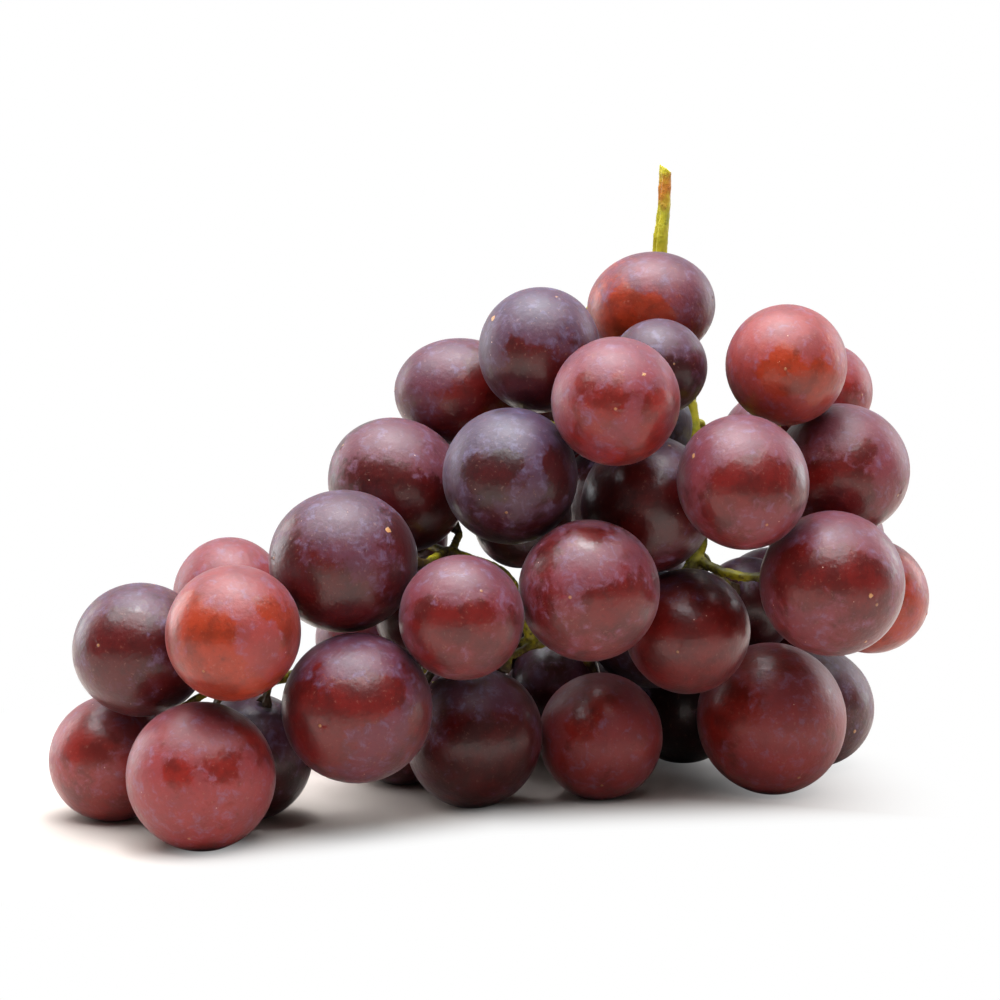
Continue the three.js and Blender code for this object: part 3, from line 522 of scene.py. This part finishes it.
def master_berry(settings):
    """A round of radius 1 with its stem end up: a dimple at the top, and below the little point of the
    withered flower in a shallow hollow."""
    deselect_all()
    bpy.ops.mesh.primitive_uv_sphere_add(segments=settings.segments, ring_count=settings.rings, radius=1)
    berry = bpy.context.active_object
    bpy.ops.object.mode_set(mode="EDIT")
    bpy.ops.mesh.select_mode(type="VERT")
    for pole, move, reach in (
        (1, -settings.dimple_depth, DIMPLE_REACH),
        (-1, HOLLOW_DEPTH, HOLLOW_REACH),
        (-1, -POINT_HEIGHT, POINT_REACH),
    ):
        bpy.ops.mesh.select_all(action="DESELECT")
        edit = bmesh.from_edit_mesh(berry.data)
        max(edit.verts, key=lambda v: v.co.z * pole).select_set(True)
        bmesh.update_edit_mesh(berry.data)
        bpy.ops.transform.translate(
            value=(0, 0, move), use_proportional_edit=True, proportional_size=reach,
            proportional_edit_falloff="SMOOTH",
        )
    bpy.ops.object.mode_set(mode="OBJECT")
    bpy.ops.object.shade_smooth()
    return berry


def seen_direction(middle, across, up):
    """The direction from a berry's middle to a place that the camera sees on it, in shares of its radius."""
    sight = (middle - EYE).normalized()
    right = sight.cross(Vector((0, 0, 1))).normalized()
    over = right.cross(sight)
    near = math.sqrt(max(0.0, 1 - across * across - up * up))
    return (right * across + over * up - sight * near).normalized()


def paint_berry(berry, middle, radius, how, chance):
    """Writes a berry's look into its mesh: skin colours, wax colour, bloom amount and scar places. On the far
    side, which the photograph doesn't show, the patches and the scars lie at random places."""
    mesh = berry.data
    sun = seen_direction(middle, *how["sun"])
    patches = [(seen_direction(middle, across, up), size, RUBBED) for across, up, size in how["rubs"]]
    patches += [(seen_direction(middle, across, up), size, DUST_AND_LIGHT) for across, up, size in how["dust_and_light_patches"]]
    for _ in range(FAR_PATCHES):
        far = Vector((chance.uniform(-1, 1), chance.uniform(0.1, 1), chance.uniform(-1, 1))).normalized()
        patches.append((far, chance.uniform(0.2, 0.5), chance.choice((RUBBED, RUBBED, DUST_AND_LIGHT))))
    places = [middle + seen_direction(middle, across, up) * radius for across, up in how["scars"]]
    while len(places) < 2:
        far = Vector((chance.uniform(-1, 1), chance.uniform(0.2, 1), chance.uniform(-1, 1))).normalized()
        places.append(middle + far * radius)
    bright, dull = (linear(h)[:3] for h in SKINS[how["skin"]])
    wax = linear(WAXES[how["wax"]])
    skins, shades, waxes, blooms = [], [], [], []
    for vertex in mesh.vertices:
        out = (vertex.co - middle).normalized()
        # Painted glow and shade: the skin turns from its darker colour to its brighter one towards the glow
        # side.
        lit = 0.5 + 0.5 * out.dot(sun)
        lit = lit * lit * (3 - 2 * lit)
        colour = [d + (b - d) * lit for b, d in zip(bright, dull)]
        # Painted light and shade: less red skin and a cooler wax on top, a redder, darker wax underneath.
        upper, lower = max(0.0, out.z), max(0.0, -out.z)
        colour[0] *= 1 + TOP_LIGHT_SKIN_RED * upper
        tints = zip(wax, TOP_LIGHT_WAX_TINT, UNDERSIDE_SHADE_WAX_TINT)
        waxes += [*(c * (1 + above * upper + below * lower) for c, above, below in tints), 1.0]
        skins += [*colour, 1.0]
        shades += [*(c * SHADE_SHARE for c in colour), 1.0]
        change = sum(
            amount * max(0.0, 1 - out.angle(spot) / (PATCH_SPREAD * size)) ** PATCH_FALLOFF
            for spot, size, amount in patches
        )
        change = max(LEAST_CHANGE, min(MOST_CHANGE, change))
        # The bloom is thicker on top and thinner below, which paints the hazy light overhead and deeper red in
        # shade.
        blooms.append(how["bloom"] + UPPER_BLOOM * out.z + change)
    count = len(mesh.vertices)
    for name, kind, values in (("skin", "FLOAT_COLOR", skins), ("shade", "FLOAT_COLOR", shades),
                               ("wax", "FLOAT_COLOR", waxes), ("bloom", "FLOAT", blooms)):
        attribute = mesh.attributes.new(name, kind, "POINT")
        attribute.data.foreach_set("color" if kind == "FLOAT_COLOR" else "value", values)
    for name, at in (("scar", places[0]), ("second_scar", places[1])):
        mesh.attributes.new(name, "FLOAT_VECTOR", "POINT").data.foreach_set("vector", list(at) * count)


class GRAPES_OT_berries(bpy.types.Operator):
    """Makes a smooth berry in the place of each faceted one"""
    bl_idname = "grapes.berries"
    bl_label = "Make the berries"

    def execute(self, context):
        settings = context.scene.grape_berries
        master = master_berry(settings)
        skin = grape_skin(settings)
        lumps = bpy.data.textures.new("unevenness", "CLOUDS")
        lumps.noise_scale = LUMP_SIZE
        for name in BERRY_NODES:
            middle, axis, radius, half_length = berry_form(frame["nodes"][name])
            number = int(name[-2:])
            chance = random.Random(number)
            how = LOOKS.get(number) or chance.choice(TONE_LOOKS[SLOTS[name]])
            berry = bpy.data.objects.new(f"grape_{number:02d}", master.data.copy())
            context.scene.collection.objects.link(berry)
            turn = axis.to_track_quat("Z", "Y").to_matrix().to_4x4()
            spin = Matrix.Rotation(chance.uniform(0, 2 * math.pi), 4, "Z")
            size = Matrix.Diagonal((radius, radius, half_length, 1))
            berry.data.transform(Matrix.Translation(middle) @ turn @ spin @ size)
            apply_modifier(
                berry, "DISPLACE", texture=lumps, texture_coords="LOCAL", mid_level=0.5,
                strength=settings.unevenness,
            )
            self.flatten(berry)
            paint_berry(berry, middle, radius, how, chance)
            berry.data.materials.append(skin)
            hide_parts(name)
            SLOTS[name]
            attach(berry, "root")
        bpy.data.objects.remove(master)
        return {"FINISHED"}

    def flatten(self, berry):
        """Presses a berry that rests on the table flat against it."""
        if min(v.co.z for v in berry.data.vertices) > 0:
            return
        make_active(berry)
        bpy.ops.object.mode_set(mode="EDIT")
        bpy.ops.mesh.select_all(action="SELECT")
        bpy.ops.mesh.bisect(
            plane_co=(0, 0, 0), plane_no=(0, 0, 1), use_fill=True, clear_inner=True, threshold=TINY
        )
        bpy.ops.object.mode_set(mode="OBJECT")


class GRAPES_OT_stalk(bpy.types.Operator):
    """Makes the faceted stalk round and warty"""
    bl_idname = "grapes.stalk"
    bl_label = "Make the stalk"

    def execute(self, context):
        settings = context.scene.grape_stalk
        stalk = bpy.data.objects.new("grape_stalk", frame["nodes"]["stalk"].data.copy())
        context.scene.collection.objects.link(stalk)
        stalk.data.materials.clear()
        make_active(stalk)
        bpy.ops.object.mode_set(mode="EDIT")
        bpy.ops.mesh.select_all(action="SELECT")
        bpy.ops.mesh.remove_doubles(threshold=TINY)
        bpy.ops.object.mode_set(mode="OBJECT")
        stem_ends = []
        for name in BERRY_NODES:
            middle, axis, radius, half_length = berry_form(frame["nodes"][name])
            stem_ends.append(middle + axis * half_length)
        apply_modifier(stalk, "REMESH", mode="VOXEL", voxel_size=settings.grain)
        apply_modifier(stalk, "SMOOTH", factor=0.5, iterations=4)
        warts = bpy.data.textures.new("warts", "CLOUDS")
        warts.noise_scale = WART_SIZE
        apply_modifier(
            stalk, "DISPLACE", texture=warts, texture_coords="LOCAL", mid_level=0.35,
            strength=settings.wart_height * 2,
        )
        make_active(stalk)
        bpy.ops.object.shade_smooth()
        self.paint(stalk, stem_ends)
        stalk.data.materials.append(stalk_bark(settings))
        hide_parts("stalk")
        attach(stalk, "root")
        return {"FINISHED"}

    def paint(self, stalk, stem_ends):
        """Writes how dry the bark is, most at the berries, with painted shade added inside the bunch, how
        rusty it is near the cut, and where the cut is."""
        mesh = stalk.data
        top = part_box("stalk")[1].z
        upwards = Vector((math.sin(CUT_TILT), 0, math.cos(CUT_TILT)))
        dry_and_shade, rusty, cut = [], [], []
        for vertex in mesh.vertices:
            at = vertex.co
            nearest = min((at - end).length for end in stem_ends)
            below = top - at.z
            inside = min(1.0, max(0.0, (below - INSIDE_DEPTH) / INSIDE_REACH))
            # The inside term is painted shade: it darkens the stalk within the bunch.
            dry_and_shade.append(DRY_AT_BERRY * math.exp(-nearest / DRY_REACH) + SHADE_INSIDE * inside)
            rusty.append(max(0.0, 1 - abs(below - RUST_DEPTH) / RUST_REACH))
            cut.append(1.0 if below < CUT_REACH and vertex.normal.dot(upwards) > CUT_FACING else 0.0)
        for name, values in (("dry_and_shade", dry_and_shade), ("rusty", rusty), ("cut", cut)):
            mesh.attributes.new(name, "FLOAT", "POINT").data.foreach_set("value", values)


class GRAPES_OT_stage(bpy.types.Operator):
    """Makes the white floor, the studio lights and the photograph's camera"""
    bl_idname = "grapes.stage"
    bl_label = "Make the stage"

    def execute(self, context):
        settings = context.scene.grape_stage
        self.floor(settings)
        self.lights(settings)
        self.world()
        self.camera()
        context.scene.view_settings.view_transform = "Standard"
        return {"FINISHED"}

    def floor(self, settings):
        """A wide disc of matt paper. Past the bunch's shadow the camera sees it as plain white."""
        deselect_all()
        bpy.ops.mesh.primitive_circle_add(vertices=128, radius=FLOOR_RADIUS, fill_type="NGON")
        floor = bpy.context.active_object
        floor.name = "floor"
        material, tree = emptied("white paper sweep")
        place = add(tree, "ShaderNodeTexCoord").outputs["Object"]
        away = add(tree, "ShaderNodeVectorMath", {0: place, 1: SHADOW_MIDDLE}, operation="DISTANCE")
        around = add(tree, "ShaderNodeMapRange", {
            "Value": away.outputs["Value"], "From Min": SHADOW_EDGE[0], "From Max": SHADOW_EDGE[1]}, **SOFT)
        left = add(tree, "ShaderNodeVectorMath", {0: place, 1: LEFT_FRONT}, operation="DOT_PRODUCT")
        right = add(tree, "ShaderNodeVectorMath", {0: place, 1: RIGHT_FRONT}, operation="DOT_PRODUCT")
        ahead = add(tree, "ShaderNodeMath", {
            0: left.outputs["Value"], 1: right.outputs["Value"]}, operation="MINIMUM")
        ahead = add(tree, "ShaderNodeMapRange", {
            "Value": ahead, "From Min": FRONT_EDGE[0], "From Max": FRONT_EDGE[1]}, **SOFT)
        share = add(tree, "ShaderNodeMath", {0: around, 1: ahead}, operation="MAXIMUM")
        seen = add(tree, "ShaderNodeLightPath").outputs["Is Camera Ray"]
        share = add(tree, "ShaderNodeMath", {0: share, 1: seen}, operation="MULTIPLY")
        paper = add(tree, "ShaderNodeBsdfDiffuse", {"Color": settings.floor_colour})
        white = add(tree, "ShaderNodeEmission", {"Color": WHITE, "Strength": 1.0})
        mix = add(tree, "ShaderNodeMixShader", {0: share, 1: paper, 2: white})
        add(tree, "ShaderNodeOutputMaterial", {"Surface": mix})
        floor.data.materials.append(material)

    def lights(self, settings):
        """A wide softbox overhead with a brighter core, and two panels behind for the pale rims."""
        for name, at, width, depth, power in ((*SOFTBOX, settings.softbox_power), *SMALL_LAMPS):
            data = bpy.data.lights.new(name, "AREA")
            data.shape = "RECTANGLE"
            data.size, data.size_y, data.energy = width, depth, power
            data.color = LAMP_COLOUR
            lamp = bpy.data.objects.new(name, data)
            lamp.location = at
            lamp.rotation_euler = (LAMP_AIM - Vector(at)).to_track_quat("-Z", "Y").to_euler()
            lamp.visible_camera = False
            bpy.context.scene.collection.objects.link(lamp)

    def world(self):
        """A white backdrop behind the bunch and a dark room in front of it. The camera sees only white."""
        world = bpy.data.worlds.new("studio")
        bpy.context.scene.world = world
        world.use_nodes = True
        tree = world.node_tree
        tree.nodes.clear()
        way = add(tree, "ShaderNodeTexCoord").outputs["Generated"]
        way = add(tree, "ShaderNodeSeparateXYZ", {"Vector": way})
        backdrop = add(tree, "ShaderNodeMapRange", {
            "Value": way.outputs["Y"], "From Min": BACKDROP_START, "From Max": BACKDROP_FULL,
            "To Min": ROOM_LIGHT, "To Max": BACKDROP_LIGHT}, **SOFT)
        seen = add(tree, "ShaderNodeLightPath").outputs["Is Camera Ray"]
        white = add(tree, "ShaderNodeBackground", {"Color": WHITE, "Strength": 1.0})
        room = add(tree, "ShaderNodeBackground", {"Color": WHITE, "Strength": backdrop})
        mix = add(tree, "ShaderNodeMixShader", {0: seen, 1: room, 2: white})
        add(tree, "ShaderNodeOutputWorld", {"Surface": mix})

    def camera(self):
        """The photograph's camera."""
        data = bpy.data.cameras.new("camera")
        data.lens, data.sensor_width, data.shift_x = FOCAL_LENGTH_MM, SENSOR_WIDTH_MM, SHIFT
        data.clip_start, data.clip_end = CLIP_START, CLIP_END
        camera = bpy.data.objects.new("camera", data)
        camera.location = EYE
        camera.rotation_euler = SIGHT.to_track_quat("-Z", "Y").to_euler()
        bpy.context.scene.collection.objects.link(camera)
        bpy.context.scene.camera = camera


class GRAPES_PT_panel(bpy.types.Panel):
    """Lists the steps that make the bunch"""
    bl_idname = "GRAPES_PT_panel"
    bl_label = "Bunch of grapes"
    bl_space_type = "VIEW_3D"
    bl_region_type = "UI"
    bl_category = "Grapes"

    def draw(self, context):
        for operator, settings in (
            (GRAPES_OT_berries, context.scene.grape_berries),
            (GRAPES_OT_stalk, context.scene.grape_stalk),
            (GRAPES_OT_stage, context.scene.grape_stage),
        ):
            box = self.layout.box()
            for name in settings.__annotations__:
                box.prop(settings, name)
            box.operator(operator.bl_idname)


CLASSES = (
    BerrySettings,
    StalkSettings,
    StageSettings,
    GRAPES_OT_berries,
    GRAPES_OT_stalk,
    GRAPES_OT_stage,
    GRAPES_PT_panel,
)


def register():
    for each in CLASSES:
        bpy.utils.register_class(each)
    bpy.types.Scene.grape_berries = PointerProperty(type=BerrySettings)
    bpy.types.Scene.grape_stalk = PointerProperty(type=StalkSettings)
    bpy.types.Scene.grape_stage = PointerProperty(type=StageSettings)


def unregister():
    for name in ("grape_berries", "grape_stalk", "grape_stage"):
        delattr(bpy.types.Scene, name)
    for each in reversed(CLASSES):
        bpy.utils.unregister_class(each)


def main():
    register()
    bpy.ops.grapes.berries()
    bpy.ops.grapes.stalk()
    bpy.ops.grapes.stage()


if __name__ == "__main__":
    main()
